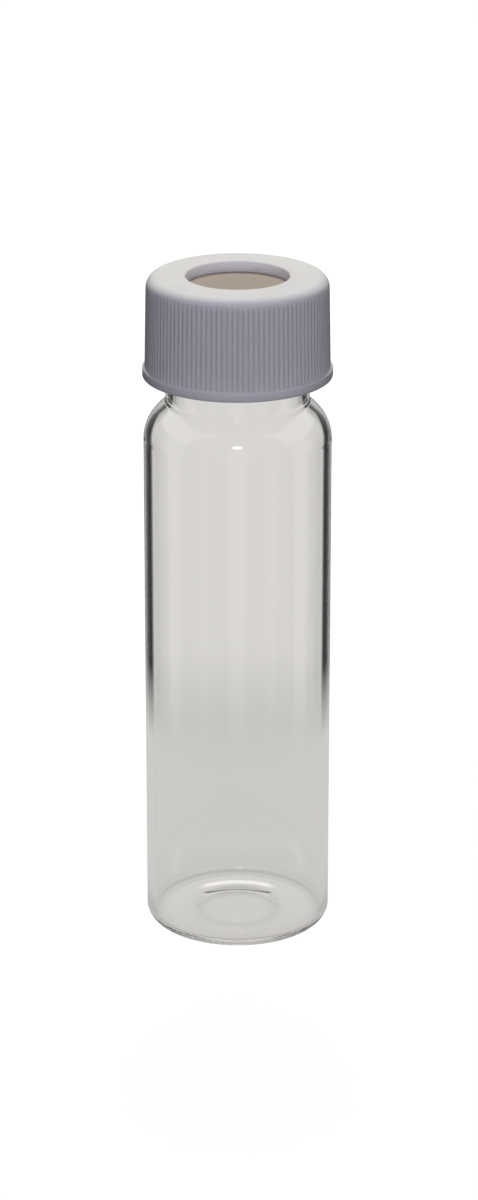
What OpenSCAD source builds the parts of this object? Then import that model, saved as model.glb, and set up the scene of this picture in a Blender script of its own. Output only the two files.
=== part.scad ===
// Glass sample vial with a ribbed open-top screw cap and a septum.
// It stands on z = 0 with its axis on Z. All sizes are in millimetres.

/* [Vial body] */
// Outside diameter of the glass tube
vial_d = 27.25; // [24:0.05:34]
// Height of the glass from the table to the rim
vial_h = 95; // [60:0.5:140]
// Thickness of the tube wall and of the shoulder
wall = 1.2; // [0.8:0.05:1.8]
// Height of the inside floor above the table
floor_t = 1.2; // [1:0.05:3]
// Outside rounding between the wall and the base
heel_r = 2; // [0.8:0.1:3]
// Inside rounding between the wall and the floor
inner_heel_r = 0.5; // [0.3:0.1:3]
// Radius of the shallow hollow in the underside, inside the ring that the vial stands on
hollow_r = 10.8; // [7.5:0.1:11]
// Rise of that hollow at its middle
hollow_h = 0.25; // [0.05:0.05:0.4]
// Radius at which the inside floor starts to dip
dish_r = 7.3; // [6:0.1:9]
// Radius of the flat at the bottom of the dip
dish_flat_r = 5.3; // [3:0.1:5.8]
// Depth of the dip
dish_h = 0.2; // [0.05:0.05:0.4]
// Outside radius of the shoulder
shoulder_r = 6.3; // [2:0.1:8]
// Lean of the shoulder's straight stretch from the vertical, in degrees
shoulder_lean = 46; // [35:1:60]

/* [Neck finish] */
// Outside diameter of the neck, at the root of its thread
neck_d = 20.8; // [16:0.05:21.4]
// Wall of the neck, which sets the mouth
neck_wall = 1.5; // [1.2:0.05:3]
// Height of the straight neck, from the shoulder to the rim
neck_h = 13.35; // [11.5:0.05:16]
// Hollow rounding between the shoulder and the neck
neck_fillet_r = 1; // [0.4:0.1:2]
// Rounding of the two edges of the rim
rim_r = 0.5; // [0.2:0.05:0.9]

/* [Screw thread] */
// Rise of the thread in one turn, 8 turns to the inch
pitch = 3.175; // [2.6:0.005:4]
// How far the glass ridge stands out of the neck
ridge_h = 1.4; // [0.8:0.05:1.6]
// Width of the glass ridge at its root
ridge_w = 2.4; // [1.6:0.05:2.6]
// Turns of the ridge on the neck
ridge_turns = 1.25; // [1:0.05:1.6]
// Bare glass above the ridge, up to the rim
ridge_drop = 1.2; // [0.8:0.05:2]
// Width of the cap's ridge at its root
cap_ridge_w = 2.2; // [1.4:0.05:2.4]
// Turns of the ridge in the cap
cap_ridge_turns = 1.5; // [1:0.05:2]
// Radial play between a ridge's tip and the wall that it faces
tip_play = 0.25; // [0.15:0.01:0.4]
// Play between the flanks that carry the load
flank_play = 0.1; // [0.05:0.01:0.3]

/* [Septum] */
// Thickness of the septum
septum_t = 3.2; // [1.5:0.1:4]
// How far the septum reaches past the neck all round
septum_over = 0.6; // [0.3:0.05:0.8]
// Radial play of the septum in its seat in the cap
septum_play = 0.15; // [0.1:0.01:0.3]
// Rounding of the septum's edges
septum_edge = 0.15; // [0.05:0.05:0.4]
// How far the septum's seat in the cap reaches below the rim of the glass
seat_drop = 0.6; // [0.3:0.05:1]

/* [Cap] */
// Height of the cap
cap_h = 14.8; // [13:0.1:17]
// Thickness of the cap's top
cap_top_t = 1.6; // [1:0.05:2.5]
// Thickness of the skirt from its bore to the ribs, at the top
skirt_t = 1.11; // [0.9:0.01:2]
// How much wider the skirt is at its foot than at its top, on the radius
skirt_flare = 0.23; // [0:0.01:0.5]
// Rounding of the cap's top edge
cap_edge_r = 1.7; // [0.5:0.1:2.5]
// Diameter of the hole that shows the septum
hole_d = 14.9; // [8:0.1:18]
// Rounding of the hole's upper edge
hole_edge_r = 0.2; // [0.05:0.05:0.5]
// Height of the smooth band round the foot of the cap
band_h = 1.35; // [0.8:0.05:2.5]
// How far the band stands out of the ribs
band_out = 0.34; // [0.1:0.02:0.8]
// Rounding of the band's edges
band_edge = 0.2; // [0.05:0.05:0.4]
// Number of grip ribs round the cap
ribs = 108; // [36:1:144]
// Depth of the groove between two ribs
rib_depth = 0.2; // [0.05:0.01:0.35]
// Width of that groove at the surface
groove_w = 0.42; // [0.2:0.02:0.6]
// Chamfer that leads the neck into the cap
lead_in = 0.4; // [0.1:0.05:0.8]

/* [Hidden] */
$fn = 144;
arc_steps = 8;
slight = 0.01;

// Radii of the glass
body_r = vial_d / 2;
body_in_r = body_r - wall;
neck_r = neck_d / 2;
mouth_r = neck_r - neck_wall;

// The shoulder is an arc off the tube, a straight lean and a hollow arc into the neck,
// each touching the next. The arcs give way where the tube is hardly wider than the neck.
lean_cos = cos(shoulder_lean);
lean_sin = sin(shoulder_lean);
out_step = body_r - neck_r;
in_step = body_in_r - mouth_r;
out_arc_r = min(shoulder_r, out_step / (1 - lean_cos) - neck_fillet_r);
in_arc_r = max(out_arc_r - wall, slight);
in_fillet_r = neck_fillet_r + wall;
out_run = (out_step - (out_arc_r + neck_fillet_r) * (1 - lean_cos)) / lean_sin;
in_run = (in_step - (in_arc_r + in_fillet_r) * (1 - lean_cos)) / lean_sin;
neck_z = vial_h - neck_h;
shoulder_z = neck_z - (out_arc_r + neck_fillet_r) * lean_sin - out_run * lean_cos;
mouth_z = shoulder_z + (in_arc_r + in_fillet_r) * lean_sin + in_run * lean_cos;

// Septum, and the cap that closes over it
septum_r = neck_r + septum_over;
septum_z = vial_h;
seat_r = septum_r + septum_play;
seat_z = septum_z + septum_t;
cap_z = seat_z + cap_top_t;
cap_foot_z = cap_z - cap_h;
hole_r = hole_d / 2;
bore_r = neck_r + ridge_h + tip_play;
skirt_top_r = bore_r + skirt_t;
skirt_foot_r = skirt_top_r + skirt_flare;
band_r = skirt_foot_r + band_out;
band_z = cap_foot_z + band_h;
skirt_tilt = atan(skirt_flare / (cap_z - band_z));

// Thread. A ridge's centre line climbs by the pitch in a turn, anticlockwise seen from above,
// so that a cap turned anticlockwise rises. Ridge angles are counted from the glass ridge's foot.
ridge_top_z = vial_h - ridge_drop - ridge_w / 2;
ridge_foot_z = ridge_top_z - ridge_turns * pitch;
ridge_tip_r = neck_r + ridge_h;
cap_tip_r = neck_r + tip_play;
flank_step = (ridge_w + cap_ridge_w) / 4 + flank_play;
ledge_z = vial_h - seat_drop;
cap_ridge_foot_z = cap_foot_z + lead_in + cap_ridge_w / 2;
cap_ridge_top_z = min(cap_ridge_foot_z + cap_ridge_turns * pitch, ledge_z - cap_ridge_w / 2);

// How deep a ridge is rooted in its wall, how deep its bump starts, the angle over which its ends
// run out, and the steps along it and across it
ridge_root = 0.35;
ridge_start = 0.05;
run_out = 40;
steps_per_turn = 40;
section_steps = 6;

// How many times deeper than its groove the cutter reaches, to clear the ribs
groove_reach = 3;

// Points of an arc about c, from angle a to angle b
function arc(c, r, a, b) =
    [for (i = [0:arc_steps]) let (t = a + (b - a) * i / arc_steps) c + r * [cos(t), sin(t)]];

// Angle on the helix at which the glass ridge, or a line beside it, is at height z
function helix_angle(z, z0) = 360 * (z - z0) / pitch;

// Share of its full height that a ridge has at angle a, with a smooth run-out at both ends
function ridge_share(a, a0, a1) =
    let (t = min(1, (a - a0) / run_out, (a1 - a) / run_out))
    (1 - cos(180 * max(0, t))) / 2;

// Section of a ridge as [radius, height] pairs: a rounded bump from root_r to tip_r, with its
// root sunk into the wall that carries it
function ridge_section(root_r, tip_r, width, share) =
    let (out = tip_r > root_r ? 1 : -1, foot_r = root_r - out * ridge_start)
    concat(
        [[root_r - out * ridge_root, -width / 2]],
        [for (i = [0:section_steps])
            let (t = -1 + 2 * i / section_steps)
            [foot_r + (tip_r - foot_r) * share * (1 + cos(180 * t)) / 2, t * width / 2]],
        [[root_r - out * ridge_root, width / 2]]
    );

// One screw ridge, whose centre line is at height z0 at angle 0
module screw_ridge(root_r, tip_r, width, z0, a0, a1) {
    rings = ceil((a1 - a0) * steps_per_turn / 360);
    count = section_steps + 3;
    points = [
        for (i = [0:rings])
            let (a = a0 + (a1 - a0) * i / rings)
            for (p = ridge_section(root_r, tip_r, width, ridge_share(a, a0, a1)))
                [p.x * cos(a), p.x * sin(a), z0 + pitch * a / 360 + p.y]
    ];
    sides = [
        for (i = [0:rings - 1], j = [0:count - 1])
            let (p = i * count + j, q = i * count + (j + 1) % count)
            each [[p, q, p + count], [q, q + count, p + count]]
    ];
    start = [for (j = [count - 1:-1:0]) j];
    end = [for (j = [0:count - 1]) rings * count + j];
    // The section runs the other way round when the ridge points inwards
    faces = concat(sides, [start, end]);
    polyhedron(points, tip_r > root_r ? faces : [for (f = faces) [for (k = [len(f) - 1:-1:0]) f[k]]]);
}

// Half section of the glass, from the axis along the outside to the rim and back down the inside
function glass_outside() = concat(
    [for (i = [0:arc_steps]) let (t = i / arc_steps) [hollow_r * t, hollow_h * (1 - t * t)]],
    arc([body_r - heel_r, heel_r], heel_r, -90, 0),
    arc([body_r - out_arc_r, shoulder_z], out_arc_r, 0, shoulder_lean),
    arc([neck_r + neck_fillet_r, neck_z], neck_fillet_r, 180 + shoulder_lean, 180),
    arc([neck_r - rim_r, vial_h - rim_r], rim_r, 0, 90)
);

function glass_inside() = concat(
    arc([mouth_r + rim_r, vial_h - rim_r], rim_r, 90, 180),
    arc([mouth_r + in_fillet_r, mouth_z], in_fillet_r, 180, 180 + shoulder_lean),
    arc([body_r - out_arc_r, shoulder_z], in_arc_r, shoulder_lean, 0),
    arc([body_in_r - inner_heel_r, floor_t + inner_heel_r], inner_heel_r, 0, -90),
    [
        for (i = [0:arc_steps])
            let (t = i / arc_steps)
            [dish_r + (dish_flat_r - dish_r) * t, floor_t - dish_h * (1 - cos(180 * t)) / 2]
    ],
    [[0, floor_t - dish_h]]
);

// Blown and drawn glass: tube, floor, shoulder, neck and thread in one piece
module vial() {
    color([0.80, 0.86, 0.86, 0.45]) {
        rotate_extrude() polygon(concat(glass_outside(), glass_inside()));
        screw_ridge(neck_r, ridge_tip_r, ridge_w, ridge_foot_z, 0, 360 * ridge_turns);
    }
}

// Bonded rubber disc that seals the mouth
module septum() {
    color([0.80, 0.74, 0.67])
        translate([0, 0, septum_z])
            rotate_extrude()
                polygon([
                    [0, 0],
                    [septum_r - septum_edge, 0],
                    [septum_r, septum_edge],
                    [septum_r, septum_t - septum_edge],
                    [septum_r - septum_edge, septum_t],
                    [0, septum_t]
                ]);
}

// Half section of the cap, without its thread and grooves
function cap_section() = concat(
    [
        [bore_r + lead_in, cap_foot_z],
        [band_r - band_edge, cap_foot_z],
        [band_r, cap_foot_z + band_edge],
        [band_r, band_z - band_edge],
        [band_r - band_edge, band_z],
        [skirt_foot_r, band_z]
    ],
    arc([skirt_top_r - cap_edge_r, cap_z - cap_edge_r], cap_edge_r, 0, 90),
    arc([hole_r + hole_edge_r, cap_z - hole_edge_r], hole_edge_r, 90, 180),
    [
        [hole_r, seat_z],
        [seat_r, seat_z],
        [seat_r, ledge_z],
        [bore_r, ledge_z],
        [bore_r, cap_foot_z + lead_in]
    ]
);

// One groove between two ribs, leaning with the skirt
module groove() {
    translate([skirt_foot_r - rib_depth, 0, band_z + band_edge / 2])
        rotate([0, -skirt_tilt, 0])
            linear_extrude(height = cap_z - band_z)
                polygon([
                    [0, 0],
                    [groove_reach * rib_depth, -groove_reach * groove_w / 2],
                    [groove_reach * rib_depth, groove_reach * groove_w / 2]
                ]);
}

// Moulded cap with a hole in its top, a ribbed skirt and an inside thread
module cap() {
    a0 = helix_angle(cap_ridge_foot_z, ridge_foot_z - flank_step);
    a1 = helix_angle(cap_ridge_top_z, ridge_foot_z - flank_step);
    color([0.88, 0.88, 0.89]) {
        difference() {
            rotate_extrude() polygon(cap_section());
            for (i = [0:ribs - 1])
                rotate([0, 0, i * 360 / ribs]) groove();
        }
        screw_ridge(bore_r, cap_tip_r, cap_ridge_w, ridge_foot_z - flank_step, a0, a1);
    }
}

vial();
septum();
cap();
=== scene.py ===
# %% [markdown]
# # A glass sample vial with a screw cap
#
# The vial is made from drawn borosilicate tube and stands 95 mm tall. A white ribbed cap screws
# on to its neck and presses a soft beige disc, the septum, against the rim. The cap is open in
# the middle, so that a needle can go through the septum.
#
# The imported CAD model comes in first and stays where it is. Every piece below is made in the
# same frame, in metres, and stands for the CAD piece of the same place.

# %% Load the frame
import math

import bmesh
import bpy
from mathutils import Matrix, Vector


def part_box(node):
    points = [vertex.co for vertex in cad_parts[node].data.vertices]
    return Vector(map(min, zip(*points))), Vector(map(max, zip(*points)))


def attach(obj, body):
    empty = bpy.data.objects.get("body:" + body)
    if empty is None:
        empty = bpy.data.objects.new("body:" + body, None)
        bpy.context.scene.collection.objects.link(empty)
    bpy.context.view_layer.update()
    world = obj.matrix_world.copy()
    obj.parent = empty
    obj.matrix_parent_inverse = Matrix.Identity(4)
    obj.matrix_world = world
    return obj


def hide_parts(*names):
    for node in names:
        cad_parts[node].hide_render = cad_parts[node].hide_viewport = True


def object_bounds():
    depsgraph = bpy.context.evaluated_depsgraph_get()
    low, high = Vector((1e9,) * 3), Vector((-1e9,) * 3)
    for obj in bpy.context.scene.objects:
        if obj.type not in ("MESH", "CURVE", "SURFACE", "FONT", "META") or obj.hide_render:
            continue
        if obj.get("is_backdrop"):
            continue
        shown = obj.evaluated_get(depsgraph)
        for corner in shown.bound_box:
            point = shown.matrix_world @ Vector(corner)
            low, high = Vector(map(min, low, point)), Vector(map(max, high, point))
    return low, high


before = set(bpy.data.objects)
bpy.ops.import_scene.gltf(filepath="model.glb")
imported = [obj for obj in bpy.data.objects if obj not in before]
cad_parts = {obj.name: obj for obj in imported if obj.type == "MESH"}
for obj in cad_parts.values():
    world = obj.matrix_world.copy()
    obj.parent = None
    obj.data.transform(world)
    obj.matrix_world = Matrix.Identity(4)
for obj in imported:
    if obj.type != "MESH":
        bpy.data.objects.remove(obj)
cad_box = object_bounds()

MM = 0.001
vial_foot, vial_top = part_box("vial")[0].z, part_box("vial")[1].z
septum_foot, septum_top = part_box("septum")[0].z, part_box("septum")[1].z
cap_foot, cap_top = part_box("cap")[0].z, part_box("cap")[1].z
print(f"glass {vial_foot / MM:.1f} to {vial_top / MM:.1f} mm")
print(f"septum {septum_foot / MM:.1f} to {septum_top / MM:.1f} mm")
print(f"cap {cap_foot / MM:.1f} to {cap_top / MM:.1f} mm")

# %% [markdown]
# ## Node trees written as sums
#
# Both the shapes and the finishes come from node trees. A tree drawn by hand is hard to read as
# text, so one small class wraps a socket and overloads Python's own signs: `a * b + 1` adds the
# Math nodes by itself. Everything that isn't arithmetic comes from one method, `add`.


# %% The socket that can count
class Wire:
    """One output of a node, which can be added, multiplied and so on."""

    def __init__(self, tree, socket):
        self.tree = tree
        self.socket = socket

    def out(self, name):
        """Another output of the same node."""
        return Wire(self.tree, self.socket.node.outputs[name])

    def math(self, operation, *others):
        values = [self, *others]
        return self.tree.add("ShaderNodeMath", {"operation": operation}, dict(enumerate(values)))

    def __add__(self, other):
        return self.math("ADD", other)

    def __sub__(self, other):
        return self.math("SUBTRACT", other)

    def __mul__(self, other):
        return self.math("MULTIPLY", other)

    def __truediv__(self, other):
        return self.math("DIVIDE", other)

    def __pow__(self, other):
        return self.math("POWER", other)

    def __lt__(self, other):
        return self.math("LESS_THAN", other)

    def __gt__(self, other):
        return self.math("GREATER_THAN", other)

    def __radd__(self, other):
        return self + other

    def __rmul__(self, other):
        return self * other

    def __rsub__(self, other):
        return self * -1 + other

    def __rtruediv__(self, other):
        return self ** -1 * other

    def __abs__(self):
        return self.math("ABSOLUTE")

    def __round__(self):
        return self.math("ROUND")

    def cos(self):
        return self.math("COSINE")

    def sin(self):
        return self.math("SINE")

    def least(self, other):
        return self.math("MINIMUM", other)

    def most(self, other):
        return self.math("MAXIMUM", other)

    def ramp(self, start, end):
        """0 before start, 1 after end and straight between them."""
        return ((self - start) / (end - start)).most(0).least(1)

    def mix(self, low, high):
        """low where this is 0, high where it is 1."""
        return low + self * (high - low)


# %% The tree that adds nodes
class Tree:
    """A node tree, for a shape or for a finish."""

    def __init__(self, nodes):
        self.nodes = nodes

    def add(self, kind, settings=None, sockets=None, out=0):
        """A new node: first its settings, then the values or links of its sockets."""
        node = self.nodes.nodes.new(kind)
        for name, value in (settings or {}).items():
            if name == "stops":
                self.stops(node.color_ramp, value)
            else:
                setattr(node, name, value)
        for name, value in (sockets or {}).items():
            self.feed(node.inputs[name], value)
        return Wire(self, node.outputs[out]) if len(node.outputs) else node

    def stops(self, ramp, stops):
        while len(ramp.elements) < len(stops):
            ramp.elements.new(1)
        for element, (place, colour) in zip(ramp.elements, stops):
            element.position = place
            element.color = (*colour, 1)

    def feed(self, socket, value):
        if isinstance(value, Wire):
            self.nodes.links.new(value.socket, socket)
        elif value is not None:
            socket.default_value = value

    def parts(self, vector):
        """The X of a vector, whose out gives its Y and Z."""
        return self.add("ShaderNodeSeparateXYZ", None, {0: vector})

    def xyz(self, x, y, z):
        return self.add("ShaderNodeCombineXYZ", None, {0: x, 1: y, 2: z})


print("Wire and Tree are ready")

# %% [markdown]
# ## Half sections
#
# Glass tube, cap and septum are all turned shapes: each is a half section swept round the
# upright axis. A section is a list of points (distance from the axis, height). Arcs get enough
# points to look round, and long straight stretches get a few more, so that no face is a sliver.


# %% Arcs and straight stretches
def arc(centre, radius, start, end, steps):
    """Points of an arc, from one angle to another, in degrees."""
    angles = [math.radians(start + (end - start) * i / steps) for i in range(steps + 1)]
    return [(centre[0] + radius * math.cos(a), centre[1] + radius * math.sin(a)) for a in angles]


def spread(points, longest):
    """The same section, with no stretch longer than given."""
    spaced = [points[0]]
    for start, end in zip(points, points[1:]):
        pieces = max(1, math.ceil(math.dist(start, end) / longest))
        for i in range(1, pieces + 1):
            share = i / pieces
            spaced.append((start[0] + (end[0] - start[0]) * share, start[1] + (end[1] - start[1]) * share))
    return spaced


# %% [markdown]
# ## A tree that turns a section into a solid
#
# The shape follows a rule, so Geometry Nodes make it. A flat grid has one row for each point of
# the section and one column for each step round the axis. Each grid point looks up its row's
# distance and height and goes to its place, and merging what coincides closes the seam and the
# poles. The other way is to spin the section in mesh code, but here the screw ridge can be part
# of the same rule: on the wall that carries it, a point moves in or out by how near it is to
# the helix. So ridge and wall are one closed surface, as they are when glass is rolled in a
# mould or plastic is injected into one.


# %% Inputs of a tree
def new_group(name, inputs):
    """An empty Geometry Nodes tree with the named inputs."""
    nodes = bpy.data.node_groups.new(name, "GeometryNodeTree")
    nodes.interface.new_socket("Geometry", in_out="INPUT", socket_type="NodeSocketGeometry")
    for label, kind in inputs:
        nodes.interface.new_socket(label, in_out="INPUT", socket_type="NodeSocket" + kind)
    nodes.interface.new_socket("Geometry", in_out="OUTPUT", socket_type="NodeSocketGeometry")
    tree = Tree(nodes)
    return tree, tree.add("NodeGroupInput")


def close_group(tree, shape, material):
    """Ends a tree: real faces, one material, then the output."""
    real = tree.add("GeometryNodeRealizeInstances", None, {"Geometry": shape})
    done = tree.add("GeometryNodeSetMaterial", None, {"Geometry": real, "Material": material})
    tree.add("NodeGroupOutput", None, {"Geometry": done})


# %% Height of the screw ridge
RIDGE_RUN_OUT = math.radians(40)
RIDGE_SUNK = 0.05 * MM


def ridge_rise(given, angle, height):
    """How far the screw ridge stands out of its wall, at an angle and a height."""
    turn = angle / math.tau
    coil = round((height - given.out("Ridge foot")) / given.out("Pitch") - turn)
    along = (coil + turn) * math.tau
    across = height - given.out("Ridge foot") - (coil + turn) * given.out("Pitch")
    from_ends = (along - given.out("Ridge start")).least(given.out("Ridge end") - along)
    grown = 0.5 - 0.5 * (from_ends.ramp(0, RIDGE_RUN_OUT) * math.pi).cos()
    wave = 0.5 + 0.5 * (across / given.out("Ridge width") * math.tau).cos()
    inside = abs(across) < given.out("Ridge width") * 0.5
    return ((given.out("Ridge height") + RIDGE_SUNK) * grown * wave * inside - RIDGE_SUNK).most(0)


# %% The turning tree
SAME_PLACE = 0.001 * MM
ON_THE_WALL = 0.01 * MM


def turning_tree():
    tree, given = new_group("turned piece", [
        ("Columns", "Int"), ("Wall radius", "Float"), ("Ridge height", "Float"), ("Ridge side", "Float"),
        ("Ridge width", "Float"), ("Ridge foot", "Float"), ("Pitch", "Float"),
        ("Ridge start", "Float"), ("Ridge end", "Float"), ("Material", "Material")])
    section = given.out("Geometry")
    rows = tree.add("GeometryNodeAttributeDomainSize", {"component": "MESH"}, {"Geometry": section})
    columns = given.out("Columns")
    grid = tree.add("GeometryNodeMeshGrid", None, {
        "Size X": rows - 1, "Size Y": columns, "Vertices X": rows, "Vertices Y": columns + 1})
    place = tree.add("GeometryNodeInputPosition")
    flat = tree.parts(place)
    row = round(flat.out("X") + (rows - 1) * 0.5)
    point = tree.add("GeometryNodeSampleIndex", {"data_type": "FLOAT_VECTOR", "domain": "POINT"}, {
        "Geometry": section, "Value": place, "Index": row})
    found = tree.parts(point)
    angle = (flat.out("Y") / columns + 0.5) * math.tau
    on_wall = abs(found.out("X") - given.out("Wall radius")) < ON_THE_WALL
    rise = ridge_rise(given, angle, found.out("Z")) * on_wall * given.out("Ridge side")
    radius = found.out("X") + rise
    turned = tree.add("GeometryNodeSetPosition", None, {
        "Geometry": grid, "Position": tree.xyz(radius * angle.cos(), radius * angle.sin(), found.out("Z"))})
    closed = tree.add("GeometryNodeMergeByDistance", None, {"Geometry": turned, "Distance": SAME_PLACE})
    smooth = tree.add("GeometryNodeSetShadeSmooth", None, {"Geometry": closed})
    close_group(tree, smooth, given.out("Material"))
    return tree.nodes


turning = turning_tree()
print("turning tree:", len(turning.nodes), "nodes")

# %% [markdown]
# ## From a section to a finished mesh
#
# The section becomes a chain of loose points, the tree's inputs are set by their identifiers,
# and the evaluated result is copied into a plain mesh. Then the modifier has done its work and
# goes. The signed volume tells whether the faces point outwards.


# %% Running the trees
def run_trees(name, points, steps):
    """Applies (tree, inputs) steps to a chain of section points and returns a plain mesh object."""
    chain = bpy.data.meshes.new(name + "_section")
    chain.from_pydata([(r, 0, z) for r, z in points], [(i, i + 1) for i in range(len(points) - 1)], [])
    draft = bpy.data.objects.new(name + "_draft", chain)
    bpy.context.scene.collection.objects.link(draft)
    for nodes, inputs in steps:
        modifier = draft.modifiers.new(nodes.name, "NODES")
        modifier.node_group = nodes
        for item in nodes.interface.items_tree:
            if item.name in inputs:
                modifier[item.identifier] = inputs[item.name]
    evaluated = draft.evaluated_get(bpy.context.evaluated_depsgraph_get())
    mesh = bpy.data.meshes.new_from_object(evaluated)
    bpy.data.objects.remove(draft)
    bpy.data.meshes.remove(chain)
    mesh.name = name
    piece = bpy.data.objects.new(name, mesh)
    bpy.context.scene.collection.objects.link(piece)
    return piece


# %% Facing outwards
def face_outwards(piece, crease):
    """Turns the faces outwards, splits the shading at edges sharper than crease degrees, and reports."""
    mesh = piece.data
    work = bmesh.new()
    work.from_mesh(mesh)
    if work.calc_volume(signed=True) < 0:
        bmesh.ops.reverse_faces(work, faces=work.faces)
    volume = work.calc_volume(signed=True)
    open_edges = sum(not edge.is_manifold for edge in work.edges)
    work.to_mesh(mesh)
    work.free()
    mesh.set_sharp_from_angle(angle=math.radians(crease))
    triangles = sum(len(face.vertices) - 2 for face in mesh.polygons)
    print(f"{piece.name}: {triangles} triangles, {volume / MM ** 3:.0f} cubic mm, {open_edges} open edges")


# %% [markdown]
# ## Clear glass
#
# Borosilicate glass bends light by an index of about 1.47 and has hardly any colour of its own:
# what the eye sees is the bright surroundings through it and, where the wall is met at a
# grazing angle, the darker room piped round inside the wall. A single tinted skin would be
# quicker to render but would lose those dark edges, so the finish is a fully transmitting
# surface with no roughness on a wall that has both its faces. Drawn tube isn't optically flat:
# it has faint streaks along its length, which a very low bump gives. Shadow rays pass straight
# through, slightly dimmed, because a lamp's light does get through a clear vial.


# %% Tools for finishes
def new_material(name):
    """An empty material, its tree and the texture coordinates of the piece itself."""
    material = bpy.data.materials.new(name)
    material.use_nodes = True
    material.node_tree.nodes.clear()
    tree = Tree(material.node_tree)
    return material, tree, tree.add("ShaderNodeTexCoord").out("Object")


def noise(tree, place, per_m, detail):
    """Cloudy values from 0 to 1, with so many clouds to the metre."""
    return tree.add("ShaderNodeTexNoise", None, {"Vector": place, "Scale": per_m, "Detail": detail})


def bump(tree, height, distance):
    return tree.add("ShaderNodeBump", None, {"Height": height, "Strength": 1, "Distance": distance})


def choose(tree, share, first, second):
    """The first colour where share is 0, the second where it is 1."""
    return tree.add("ShaderNodeMix", {"data_type": "RGBA"}, {0: share, 6: first, 7: second}, out=2)


def scaled(tree, colour, level):
    """A colour times a brightness."""
    return tree.add("ShaderNodeVectorMath", {"operation": "SCALE"}, {0: colour, "Scale": level})


# %% Glass
GLASS_IOR = 1.473
GLASS_COLOUR, GLASS_SHADOW = (0.998, 0.996, 0.99, 1), (0.93, 0.93, 0.92, 1)
STREAKS_PER_M = (420, 420, 9)
STREAK_HEIGHT = 0.00015 * MM


def clear_glass():
    material, tree, place = new_material("clear glass")
    along = tree.add("ShaderNodeMapping", None, {"Vector": place, "Scale": STREAKS_PER_M})
    streaks = noise(tree, along, per_m=1, detail=3)
    body = tree.add("ShaderNodeBsdfPrincipled", None, {
        "Base Color": GLASS_COLOUR, "Roughness": 0, "IOR": GLASS_IOR,
        "Transmission Weight": 1, "Normal": bump(tree, streaks, STREAK_HEIGHT)})
    through = tree.add("ShaderNodeBsdfTransparent", None, {"Color": GLASS_SHADOW})
    shadow = tree.add("ShaderNodeLightPath").out("Is Shadow Ray")
    surface = tree.add("ShaderNodeMixShader", None, {0: shadow, 1: body, 2: through})
    tree.add("ShaderNodeOutputMaterial", None, {"Surface": surface})
    return material


glass = clear_glass()
print(glass.name, "bends light by", GLASS_IOR)

# %% [markdown]
# ## Moulded polypropylene
#
# The cap is white polypropylene straight from the mould: satin, milky, with the fine grain that
# the steel leaves. A subsurface share lets light soak in, which softens the ribs and the edge
# of the hole. Noise at three sizes keeps the white from looking painted: cloudy flow marks in
# the colour, patches in the gloss and the grain in the bump. The ribs are real shape, but the
# light that soaks in brightens their narrow grooves too much, so the colour falls a little
# towards the bottom of each one.

# %% Where the grooves lie
RIBS, RIB_ROUNDNESS = 108, 0.8
GROOVE_SHADE = 0.23
GROOVES_FROM_R, GROOVES_START = 12.9 * MM, cap_foot + 1.37 * MM
GROOVES_FADE = (cap_top - 1.9 * MM, cap_top - 0.9 * MM)


def groove_shade(tree, place):
    """1 on the crest of a rib and less in the groove beside it, where less light gets in."""
    part = tree.parts(place)
    x, y, z = part.out("X"), part.out("Y"), part.out("Z")
    crest = abs((y.math("ARCTAN2", x) * (RIBS / 2)).sin()) ** RIB_ROUNDNESS
    on_skirt = ((x * x + y * y).math("SQRT") > GROOVES_FROM_R) * (z > GROOVES_START)
    return 1 - (1 - crest) * on_skirt * (1 - z.ramp(*GROOVES_FADE)) * GROOVE_SHADE


# %% Polypropylene
FLOW_PER_M, GLOSS_PER_M, GRAIN_PER_M = 260, 900, 7000
GRAIN_HEIGHT = 0.006 * MM
CAP_WHITE = ((0.80, 0.80, 0.805, 1), (0.85, 0.85, 0.85, 1))
CAP_ROUGHNESS = (0.40, 0.50)
CAP_IOR, CAP_SHINE = 1.49, 0.4
SOAKS_IN, SOAKS_BY = 0.45, (0.0022, 0.0022, 0.0024)


def white_plastic():
    material, tree, place = new_material("white polypropylene")
    colour = choose(tree, noise(tree, place, FLOW_PER_M, detail=4), *CAP_WHITE)
    patches = noise(tree, place, GLOSS_PER_M, detail=2)
    grain = noise(tree, place, GRAIN_PER_M, detail=3)
    body = tree.add("ShaderNodeBsdfPrincipled", None, {
        "Base Color": scaled(tree, colour, groove_shade(tree, place)),
        "Roughness": patches.mix(*CAP_ROUGHNESS), "IOR": CAP_IOR, "Specular IOR Level": CAP_SHINE,
        "Subsurface Weight": SOAKS_IN, "Subsurface Radius": SOAKS_BY, "Subsurface Scale": 1,
        "Normal": bump(tree, grain, GRAIN_HEIGHT)})
    tree.add("ShaderNodeOutputMaterial", None, {"Surface": body})
    return material


plastic = white_plastic()
print(plastic.name, "has", RIBS, "ribs to shade")

# %% [markdown]
# ## Silicone rubber
#
# The septum is a beige silicone disc cut from sheet. It is dead matt, with a fine speckle of
# filler and a slight orange-peel surface. One noise could give both, but filler is far finer
# than the peel, so each has its own size.

# %% Rubber
SPECKLE_PER_M, PEEL_PER_M = 9000, 2600
PEEL_HEIGHT = 0.012 * MM
BEIGE = ((0.35, 0.297, 0.252, 1), (0.47, 0.405, 0.352, 1))
RUBBER_ROUGHNESS = (0.82, 0.95)
RUBBER_IOR, RUBBER_SHINE = 1.41, 0.25


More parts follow.
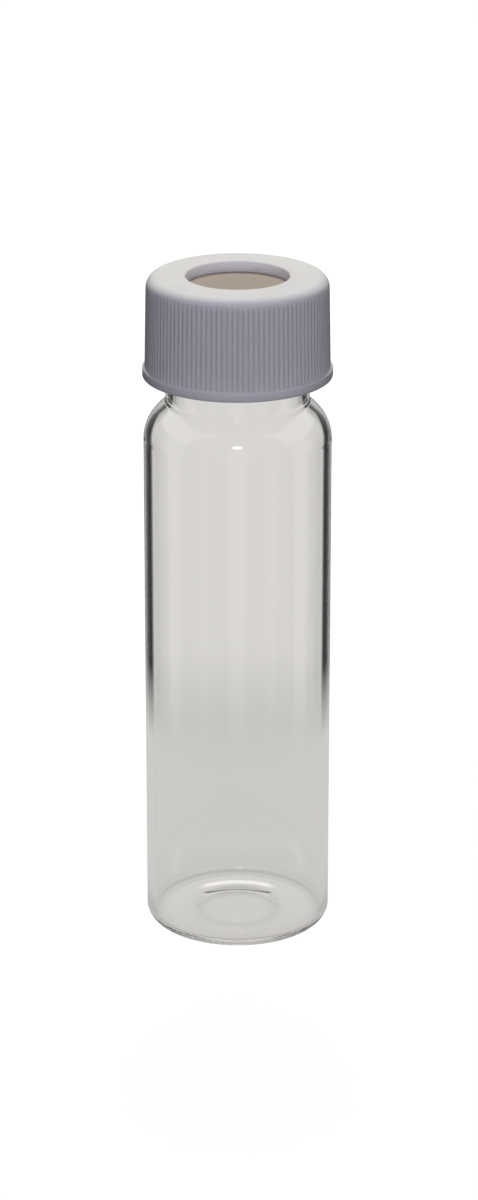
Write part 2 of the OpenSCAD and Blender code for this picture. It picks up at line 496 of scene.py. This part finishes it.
def beige_rubber():
    material, tree, place = new_material("beige silicone")
    speckle = noise(tree, place, SPECKLE_PER_M, detail=2)
    peel = noise(tree, place, PEEL_PER_M, detail=3)
    body = tree.add("ShaderNodeBsdfPrincipled", None, {
        "Base Color": choose(tree, speckle, *BEIGE), "Roughness": speckle.mix(*RUBBER_ROUGHNESS),
        "IOR": RUBBER_IOR, "Specular IOR Level": RUBBER_SHINE, "Normal": bump(tree, peel, PEEL_HEIGHT)})
    tree.add("ShaderNodeOutputMaterial", None, {"Surface": body})
    return material


rubber = beige_rubber()
print(rubber.name, "is ready")

# %% [markdown]
# ## The glass
#
# A vial starts as a drawn tube. One end is flamed and pressed flat for the base, which leaves
# the underside slightly hollow and a shallow dip in the floor. The other end is heated and
# rolled to form the shoulder, the neck and its screw ridge. The wall keeps its thickness round
# the shoulder, so the inside follows the outside, one wall further in. A Solidify modifier on
# one skin could do that, but the floor, the wall and the neck differ in thickness, so the
# section is drawn closed, outside and inside.

# %% Sizes of the glass
body_r = 13.625 * MM
wall, floor_t, neck_wall = 1.2 * MM, 1.2 * MM, 1.5 * MM
heel_r, inner_heel_r = 2 * MM, 0.5 * MM
hollow_r, hollow_h = 10.8 * MM, 0.25 * MM
dish_r, dish_flat_r, dish_h = 7.3 * MM, 5.3 * MM, 0.2 * MM
shoulder_r, shoulder_lean = 6.3 * MM, 46
neck_r, neck_h, neck_fillet_r = 10.4 * MM, 13.35 * MM, 1 * MM
rim_r = 0.5 * MM
mouth_r = neck_r - neck_wall
neck_z = vial_top - neck_h
print(f"tube {2 * body_r / MM:.2f} mm across, neck {2 * neck_r / MM:.1f} mm, mouth {2 * mouth_r / MM:.1f} mm")

# %% Where the shoulder's arcs meet
lean_cos, lean_sin = math.cos(math.radians(shoulder_lean)), math.sin(math.radians(shoulder_lean))
inner_arc_r = shoulder_r - wall
inner_fillet_r = neck_fillet_r + wall
outer_run = (body_r - neck_r - (shoulder_r + neck_fillet_r) * (1 - lean_cos)) / lean_sin
inner_run = (body_r - wall - mouth_r - (inner_arc_r + inner_fillet_r) * (1 - lean_cos)) / lean_sin
shoulder_z = neck_z - (shoulder_r + neck_fillet_r) * lean_sin - outer_run * lean_cos
mouth_z = shoulder_z + (inner_arc_r + inner_fillet_r) * lean_sin + inner_run * lean_cos
print(f"shoulder starts at {shoulder_z / MM:.2f} mm, neck at {neck_z / MM:.2f} mm")

# %% Section of the glass
HOLLOW_STEPS, DISH_STEPS = 24, 16
NECK_ROWS, NECK_STEP = 63, 0.2 * MM
hollow = [(hollow_r * i / HOLLOW_STEPS, hollow_h * (1 - (i / HOLLOW_STEPS) ** 2))
          for i in range(HOLLOW_STEPS + 1)]
dish = [(dish_r + (dish_flat_r - dish_r) * i / DISH_STEPS,
         floor_t - dish_h * (1 - math.cos(math.pi * i / DISH_STEPS)) / 2)
        for i in range(DISH_STEPS + 1)]
neck = [(neck_r, neck_z + NECK_STEP * i) for i in range(1, NECK_ROWS + 1)]
outside = (
    hollow
    + arc((body_r - heel_r, heel_r), heel_r, -90, 0, steps=20)
    + arc((body_r - shoulder_r, shoulder_z), shoulder_r, 0, shoulder_lean, steps=28)
    + arc((neck_r + neck_fillet_r, neck_z), neck_fillet_r, 180 + shoulder_lean, 180, steps=10)
    + neck
    + arc((neck_r - rim_r, vial_top - rim_r), rim_r, 0, 90, steps=8))
inside = (
    arc((mouth_r + rim_r, vial_top - rim_r), rim_r, 90, 180, steps=8)
    + arc((mouth_r + inner_fillet_r, mouth_z), inner_fillet_r, 180, 180 + shoulder_lean, steps=14)
    + arc((body_r - shoulder_r, shoulder_z), inner_arc_r, shoulder_lean, 0, steps=28)
    + arc((body_r - wall - inner_heel_r, floor_t + inner_heel_r), inner_heel_r, 0, -90, steps=12)
    + dish
    + [(0, floor_t - dish_h)])
print("glass section:", len(outside) + len(inside), "points")

# %% [markdown]
# ## The screw thread
#
# A neck of this size has eight turns of thread to the inch. The glass carries one and a
# quarter turns of rounded ridge, which fade out at both ends, as a roller leaves them, and the
# cap's ridge runs underneath it and pulls the septum down. A ridge could be a curve with a
# profile swept along it, but then it only pokes into the wall. Here it belongs to the wall, and
# glass and cap share their sizes, with a little play at the tips and the flanks.

# %% Thread sizes, shared by glass and cap
pitch = 3.175 * MM
ridge_h, ridge_w, ridge_turns = 1.4 * MM, 2.4 * MM, 1.25
ridge_from_rim = 1.2 * MM
ridge_foot = vial_top - ridge_from_rim - ridge_w / 2 - ridge_turns * pitch
tip_play, flank_play = 0.25 * MM, 0.1 * MM
print(f"thread: {ridge_turns} turns from {ridge_foot / MM:.2f} mm up, {pitch / MM:.3f} mm a turn")

# %% Make the glass
vial = run_trees("vial_glass", spread(outside + inside, longest=4 * MM), [(turning, {
    "Columns": 256, "Wall radius": neck_r, "Ridge height": ridge_h, "Ridge side": 1.0,
    "Ridge width": ridge_w, "Ridge foot": ridge_foot, "Pitch": pitch,
    "Ridge start": 0.0, "Ridge end": ridge_turns * math.tau, "Material": glass})])
face_outwards(vial, crease=60)

# %% [markdown]
# ## The septum
#
# A disc a little wider than the rim, with just-broken edges, as a punch leaves it. A cylinder
# with a bevel would do, but the tree that turns the glass is there already, so the same tree
# turns it, with a ridge of no height.

# %% Make the septum
septum_past_neck, septum_edge = 0.6 * MM, 0.15 * MM
septum_r = neck_r + septum_past_neck
disc = (
    [(0, septum_foot)]
    + arc((septum_r - septum_edge, septum_foot + septum_edge), septum_edge, -90, 0, steps=4)
    + arc((septum_r - septum_edge, septum_top - septum_edge), septum_edge, 0, 90, steps=4)
    + [(0, septum_top)])
septum = run_trees("septum_disc", spread(disc, longest=1.5 * MM), [(turning, {
    "Columns": 160, "Wall radius": 0.0, "Ridge height": 0.0, "Ridge side": 0.0, "Ridge width": 1.0,
    "Ridge foot": 0.0, "Pitch": 1.0, "Ridge start": 0.0, "Ridge end": 0.0, "Material": rubber})])
face_outwards(septum, crease=50)

# %% [markdown]
# ## Ribs for the fingers
#
# 108 fine ribs run up the skirt from the smooth band at its foot to the rounded top edge. They
# could be cut by a boolean with a ring of thin wedges, which leaves ragged faces. They repeat,
# so a second tree cuts them into the turned skirt instead: a point of the skirt may lie no
# further out than the rib's own wave allows. Where the top edge rounds away inwards, that
# limit no longer bites, and the grooves run out by themselves, as a mould's do.

# %% The rib tree
RIB_START = 0.2 * MM


def rib_tree():
    tree, given = new_group("grip ribs", [
        ("Ribs", "Float"), ("Depth", "Float"), ("Skirt inside", "Float"), ("Foot radius", "Float"),
        ("Foot height", "Float"), ("Top radius", "Float"), ("Top height", "Float"), ("Material", "Material")])
    place = tree.parts(tree.add("GeometryNodeInputPosition"))
    x, y, z = place.out("X"), place.out("Y"), place.out("Z")
    radius = (x * x + y * y).math("SQRT")
    angle = y.math("ARCTAN2", x)
    crest = abs((angle * given.out("Ribs") * 0.5).sin()) ** RIB_ROUNDNESS
    begun = z.ramp(given.out("Foot height"), given.out("Foot height") + RIB_START)
    skirt = z.ramp(given.out("Foot height"), given.out("Top height")).mix(
        given.out("Foot radius"), given.out("Top radius"))
    limit = skirt - (1 - crest) * begun * given.out("Depth")
    cut = radius.least(limit) / radius.most(SAME_PLACE)
    skirt_only = (radius > given.out("Skirt inside")) * (z > given.out("Foot height"))
    share = skirt_only.mix(1, cut)
    ribbed = tree.add("GeometryNodeSetPosition", None, {
        "Geometry": given.out("Geometry"), "Position": tree.xyz(x * share, y * share, z)})
    close_group(tree, ribbed, given.out("Material"))
    return tree.nodes


ribbing = rib_tree()
print("rib tree:", len(ribbing.nodes), "nodes")

# %% [markdown]
# ## The cap
#
# The cap is one injection moulding, and its steel core is screwed out of it. Outside, bore and
# thread could be three meshes in one another, but then the plastic's soaked light would stop at
# each hidden wall. So it is one closed section: from the chamfer at the foot, round the band,
# up the leaning skirt, over the rounded edge to the hole, down the hole's wall to the seat for
# the septum, and down the bore, where the inner screw ridge stands.

# %% Sizes of the cap
hole_r, hole_edge = 7.45 * MM, 0.2 * MM
seat_play, seat_past_rim = 0.15 * MM, 0.6 * MM
skirt_wall, skirt_flare = 1.11 * MM, 0.23 * MM
band_out, band_h, band_edge = 0.34 * MM, 1.35 * MM, 0.2 * MM
cap_edge_r, lead_in, rib_depth = 1.7 * MM, 0.4 * MM, 0.2 * MM
seat_r, ledge_z = septum_r + seat_play, vial_top - seat_past_rim
bore_r = neck_r + ridge_h + tip_play
skirt_top_r = bore_r + skirt_wall
skirt_foot_r = skirt_top_r + skirt_flare
band_r, band_z = skirt_foot_r + band_out, cap_foot + band_h
print(f"cap {2 * band_r / MM:.2f} mm across, bore {2 * bore_r / MM:.1f} mm, hole {2 * hole_r / MM:.1f} mm")

# %% Section of the cap
BORE_ROWS = 34
bore = [(bore_r, ledge_z + (cap_foot + lead_in - ledge_z) * i / BORE_ROWS) for i in range(BORE_ROWS + 1)]
ribs_begin = [(skirt_foot_r, band_z + rise) for rise in (0, 0.07 * MM, 0.2 * MM)]
cap_section = (
    [(bore_r + lead_in, cap_foot)]
    + arc((band_r - band_edge, cap_foot + band_edge), band_edge, -90, 0, steps=4)
    + arc((band_r - band_edge, band_z - band_edge), band_edge, 0, 90, steps=4)
    + ribs_begin
    + arc((skirt_top_r - cap_edge_r, cap_top - cap_edge_r), cap_edge_r, 0, 90, steps=16)
    + arc((hole_r + hole_edge, cap_top - hole_edge), hole_edge, 90, 180, steps=5)
    + [(hole_r, septum_top), (seat_r, septum_top), (seat_r, ledge_z)]
    + bore
    + [(bore_r + lead_in, cap_foot)])
print("cap section:", len(cap_section), "points")

# %% Make the cap
COLUMNS_A_RIB = 8
cap_ridge_w, cap_ridge_turns = 2.2 * MM, 1.5
cap_ridge_line = ridge_foot - (ridge_w + cap_ridge_w) / 4 - flank_play
cap_ridge_low = cap_foot + lead_in + cap_ridge_w / 2
cap_ridge_high = min(cap_ridge_low + cap_ridge_turns * pitch, ledge_z - cap_ridge_w / 2)
cap = run_trees("screw_cap", spread(cap_section, longest=2.5 * MM), [
    (turning, {
        "Columns": RIBS * COLUMNS_A_RIB, "Wall radius": bore_r, "Ridge height": ridge_h, "Ridge side": -1.0,
        "Ridge width": cap_ridge_w, "Ridge foot": cap_ridge_line, "Pitch": pitch,
        "Ridge start": (cap_ridge_low - cap_ridge_line) / pitch * math.tau,
        "Ridge end": (cap_ridge_high - cap_ridge_line) / pitch * math.tau, "Material": plastic}),
    (ribbing, {
        "Ribs": float(RIBS), "Depth": rib_depth, "Skirt inside": bore_r + 0.5 * MM,
        "Foot radius": skirt_foot_r, "Foot height": band_z + 0.02 * MM, "Top radius": skirt_top_r,
        "Top height": cap_top - cap_edge_r, "Material": plastic})])
face_outwards(cap, crease=40)

# %% [markdown]
# ## Each piece takes its CAD piece's place
#
# The three pieces ride on the three bodies of the model, so a pose that unscrews the cap takes
# the new cap and septum with it.

# %% Bodies, nodes and slots
for piece, body, node, slot in (
        (vial, "vial", "vial", "glass"), (septum, "septum", "septum", "septum"), (cap, "cap", "cap", "cap")):
    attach(piece, body)
    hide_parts(node)
    print(piece.name, "rides on", body, "and replaces", node)

# %% [markdown]
# ## The table
#
# The vial stands on a plain white table that runs out of sight. For the camera the table is
# white and takes a faint shadow near the foot. Seen through the glass it is darker and warmer.
# The glass also works on the table as a lens: it shades it in rings and gathers some light into
# a bright arc behind the middle, which shows as the pale edge of the crescent in the floor. A
# renderer finds that by itself only after very many samples, so the table's finish paints it for
# rays that come through the glass: painted shade in rings at distances from the axis, painted
# light that makes the table brighter behind the axis than in front, and a painted arc of light
# in one direction. Further out, for rays that come through the glass, the table gives way to the
# room.

# %% Light at the foot
# Painted shade and light on the table: a level at each distance from the axis, in mm, a painted brighter back
# and a painted arc of gathered light.
FOOT_LIGHT_MM = ((0, 1.0), (4.5, 1.0), (5.7, 0.86), (7.3, 1.0), (10.3, 1.03), (12, 0.87),
                 (14, 0.64), (15.5, 0.69), (18, 0.92), (26, 1.0))
PAINTED_BACK_LIGHT, LEAN_GROWS, LEAN_FADES = 9, (7 * MM, 10 * MM), (14 * MM, 18 * MM)
GATHERED = 0.8
GATHERED_GROWS, GATHERED_FADES = (8.7 * MM, 9.2 * MM), (9.7 * MM, 10.3 * MM)
GATHERED_ENDS = (math.radians(28), math.radians(40))


def foot_light(tree, place, distance):
    """Painted light and shade on the table under and beside the glass: rings of shade, a brighter back and a
    gathered arc.
    """
    span = FOOT_LIGHT_MM[-1][0] * MM
    stops = [(r * MM / span, (level, level, level)) for r, level in FOOT_LIGHT_MM]
    rings = tree.add("ShaderNodeValToRGB", {"stops": stops}, {0: distance / span})
    part = tree.parts(place)
    # painted light: between these distances the table is painted brighter behind the axis than in front
    painted_back_band = distance.ramp(*LEAN_GROWS) * (1 - distance.ramp(*LEAN_FADES))
    bearing = abs(part.out("X").math("ARCTAN2", part.out("Y")))
    # painted light: an arc of light gathered by the glass, painted behind the axis
    gathered = distance.ramp(*GATHERED_GROWS) * (1 - distance.ramp(*GATHERED_FADES))
    gathered = gathered * (1 - bearing.ramp(*GATHERED_ENDS))
    return rings * (1 + part.out("Y") * painted_back_band * PAINTED_BACK_LIGHT) + gathered * GATHERED


# %% Table
TABLE_SIZE = 1.2
TABLE_GREY = (0.10, 0.10, 0.10, 1)
TABLE_SEEN, TABLE_WHITENS = 0.945, (0.08, 0.25)
TABLE_THROUGH_GLASS, TABLE_TINT = 0.52, (1, 0.985, 0.962, 1)
TABLE_GIVES_WAY = (77 * MM, 110 * MM)
WHITE = (1, 1, 1, 1)


def table_finish():
    material, tree, place = new_material("white table")
    path = tree.add("ShaderNodeLightPath")
    seen = path.out("Is Camera Ray")
    by_glass = path.out("Is Transmission Ray").most(path.out("Is Glossy Ray"))
    distance = tree.add("ShaderNodeVectorMath", {"operation": "LENGTH"}, {0: place}, out="Value")
    white = distance.ramp(*TABLE_WHITENS).mix(TABLE_SEEN, 1)
    glow = tree.add("ShaderNodeEmission", None, {
        "Color": choose(tree, seen, TABLE_TINT, WHITE),
        "Strength": seen * white + by_glass * foot_light(tree, place, distance) * TABLE_THROUGH_GLASS})
    matt = tree.add("ShaderNodeBsdfDiffuse", None, {"Color": TABLE_GREY})
    table = tree.add("ShaderNodeAddShader", None, {0: matt, 1: glow})
    gone = distance.ramp(*TABLE_GIVES_WAY) * by_glass * (1 - seen)
    nothing = tree.add("ShaderNodeBsdfTransparent")
    surface = tree.add("ShaderNodeMixShader", None, {0: gone, 1: table, 2: nothing})
    tree.add("ShaderNodeOutputMaterial", None, {"Surface": surface})
    return material


table_mesh = bpy.data.meshes.new("table")
corners = [(TABLE_SIZE * x, TABLE_SIZE * y, 0) for x, y in ((-1, -1), (1, -1), (1, 1), (-1, 1))]
table_mesh.from_pydata(corners, [], [(0, 1, 2, 3)])
table = bpy.data.objects.new("table", table_mesh)
bpy.context.scene.collection.objects.link(table)
table_mesh.materials.append(table_finish())
table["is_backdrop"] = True
print(f"table: {2 * TABLE_SIZE} m square, {len(table_mesh.materials[0].node_tree.nodes)} nodes")

# %% [markdown]
# ## The room
#
# A clear vial is only as good as what it shows. White and black cards could stand round it, but
# each would also change the light on the cap, so the levels are set in the world's own tree,
# for each kind of ray. The camera sees white, the matt pieces get a soft grey fill, and a ray
# that goes straight through the vial meets pale grey. A ray that has crossed only two faces of
# glass, in and out again, has run round inside the wall. For such a ray the room has a pale
# panel in line with each of its four sides, a dark gap beside each panel and a dim corner
# between the gaps: that draws the fine dark lines along the edges. High up it is bright except
# in front, for the light in the rounded heel. One small window, high in front, gives the
# highlights on the shoulder and the floor. Levels are brightnesses, of which 1 is white, and
# heights are the Z of a direction: 0 is the horizon and 1 is straight up.

# %% Light that has run round inside the wall
PANEL_MIDDLE, PANEL_EDGE = 0.88, 0.48
PANEL_WIDTH, PANEL_NARROWS, PANEL_FADES = math.radians(20.5), math.radians(25), math.radians(2.5)
GAP_LOW, GAP_LEVEL, GAP_RISES = 0.024, 0.08, (-0.15, 0)
CORNER, CORNER_FROM = 0.5, (math.radians(35.5), math.radians(45))
HIGH_LIGHT, HIGH_FROM, HIGH_BEHIND = 1.25, (0.25, 0.35), -0.3


def piped_light(direction):
    """Pale in line with a side of the room, dark beside it, and bright high up."""
    y, z = direction.out("Y"), direction.out("Z")
    bearing = direction.out("X").math("ARCTAN2", y).math("PINGPONG", math.pi / 4)
    panel = bearing.ramp(0, PANEL_WIDTH).mix(PANEL_MIDDLE, PANEL_EDGE)
    gap = z.ramp(*GAP_RISES).mix(GAP_LOW, GAP_LEVEL)
    edge = PANEL_WIDTH - abs(z) * PANEL_NARROWS
    side = bearing.ramp(edge - PANEL_FADES, edge + PANEL_FADES).mix(panel, gap)
    level = bearing.ramp(*CORNER_FROM).mix(side, CORNER)
    high = z.ramp(*HIGH_FROM) * (y > HIGH_BEHIND)
    return high.mix(level, HIGH_LIGHT)


# %% The window
WINDOW = (7, 7, 7, 1)
WINDOW_HALF_WIDTH, WINDOW_FOOT, WINDOW_TOP = math.radians(6.5), 0.50, 0.60


def in_window(direction):
    """1 inside a small window in front, which only clear glass is smooth enough to mirror."""
    z = direction.out("Z")
    bearing = abs((direction.out("X") * -1).math("ARCTAN2", direction.out("Y") * -1))
    return (bearing < WINDOW_HALF_WIDTH) * (z > WINDOW_FOOT) * (z < WINDOW_TOP)


# %% Room
FILL, FILL_COLOUR = 0.055, (0.97, 0.98, 1.08)
BEHIND_GLASS, GLASS_TINT = 0.728, (1, 0.98, 0.958)
MIRRORED_LOW, MIRRORED_HIGH, MIRRORED_RISES = 0.09, 0.25, (0.25, 0.45)
IN_AND_OUT = 2


def room():
    world = bpy.data.worlds.new("room")
    world.use_nodes = True
    world.node_tree.nodes.clear()
    tree = Tree(world.node_tree)
    path = tree.add("ShaderNodeLightPath")
    direction = tree.parts(tree.add("ShaderNodeTexCoord").out("Generated"))
    piped = path.out("Transmission Depth").math("COMPARE", IN_AND_OUT, 0.5)
    through = piped.mix(BEHIND_GLASS, piped_light(direction))
    mirrored = direction.out("Z").ramp(*MIRRORED_RISES).mix(MIRRORED_LOW, MIRRORED_HIGH)
    colour = scaled(tree, FILL_COLOUR, FILL)
    colour = choose(tree, path.out("Is Glossy Ray"), colour, scaled(tree, (1, 1, 1), mirrored))
    colour = choose(tree, path.out("Is Transmission Ray"), colour, scaled(tree, GLASS_TINT, through))
    colour = choose(tree, in_window(direction) * path.out("Is Singular Ray"), colour, WINDOW)
    colour = choose(tree, path.out("Is Camera Ray"), colour, WHITE)
    glow = tree.add("ShaderNodeBackground", None, {"Color": colour})
    tree.add("ShaderNodeOutputWorld", None, {"Surface": glow})
    return world


bpy.context.scene.world = room()
print("room:", len(bpy.context.scene.world.node_tree.nodes), "nodes")

# %% [markdown]
# ## Lamps
#
# One broad soft lamp above and behind lights the cap's top, and a weaker, cool one high in
# front keeps its side from going dark. The fill alone would light top and side alike and lose
# the cap's form. Glass doesn't reflect either of them as a disc: its few small reflections come
# from the room.

# %% Lamps
LAMPS_AIM = Vector((0, 0, 0.09))


def lamp(name, place, size, power, colour):
    light = bpy.data.lights.new(name, "AREA")
    light.shape = "DISK"
    light.size = size
    light.energy = power
    light.color = colour
    lamp_object = bpy.data.objects.new(name, light)
    bpy.context.scene.collection.objects.link(lamp_object)
    lamp_object.location = place
    lamp_object.rotation_euler = (LAMPS_AIM - Vector(place)).to_track_quat("-Z", "Y").to_euler()
    lamp_object.visible_camera = False
    lamp_object.visible_glossy = False
    lamp_object.visible_transmission = False
    print(name, power, "W")


lamp("top_lamp", place=(0, 0.30, 0.55), size=0.25, power=2.7, colour=(1, 0.97, 0.89))
lamp("front_lamp", place=(0.045, -0.60, 0.42), size=0.3, power=1.7, colour=(0.92, 0.925, 1.10))

# %% [markdown]
# ## Camera
#
# The vial is seen from slightly above. A short lens close by would spread the cap and pinch the
# foot, so the lens is long and stands well back, and the sides stay almost upright.

# %% Camera
CAMERA_TARGET = Vector((0.0002, 0, 0.0503))
CAMERA_LIFT = math.radians(20.53)
CAMERA_DISTANCE = 0.5793
LENS_MM, SENSOR_MM = 118.2, 36
toward_camera = Vector((0, -math.cos(CAMERA_LIFT), math.sin(CAMERA_LIFT)))
lens = bpy.data.cameras.new("camera")
lens.lens = LENS_MM
lens.sensor_width = SENSOR_MM
lens.clip_start = 0.01
lens.clip_end = 10
camera = bpy.data.objects.new("camera", lens)
bpy.context.scene.collection.objects.link(camera)
camera.location = CAMERA_TARGET + toward_camera * CAMERA_DISTANCE
camera.rotation_euler = (-toward_camera).to_track_quat("-Z", "Y").to_euler()
scene = bpy.context.scene
scene.camera = camera
scene.view_settings.view_transform = "Standard"
print(f"camera {CAMERA_DISTANCE} m away, {LENS_MM} mm lens")

# %% [markdown]
# ## Bounces
#
# Light can run round inside a glass wall many times before it leaves, and each turn counts as a
# bounce. With the usual limits those paths end early and go black, so the limits are higher.

# %% Bounces
BOUNCES = 40
scene.cycles.max_bounces = BOUNCES
scene.cycles.glossy_bounces = BOUNCES
scene.cycles.transmission_bounces = BOUNCES
print("light may bounce", BOUNCES, "times")

# %% Sizes
visual_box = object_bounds()
{"cad": [list(corner) for corner in cad_box], "visual": [list(corner) for corner in visual_box]}
print("visual box, mm:", [[round(value / MM, 2) for value in corner] for corner in visual_box])
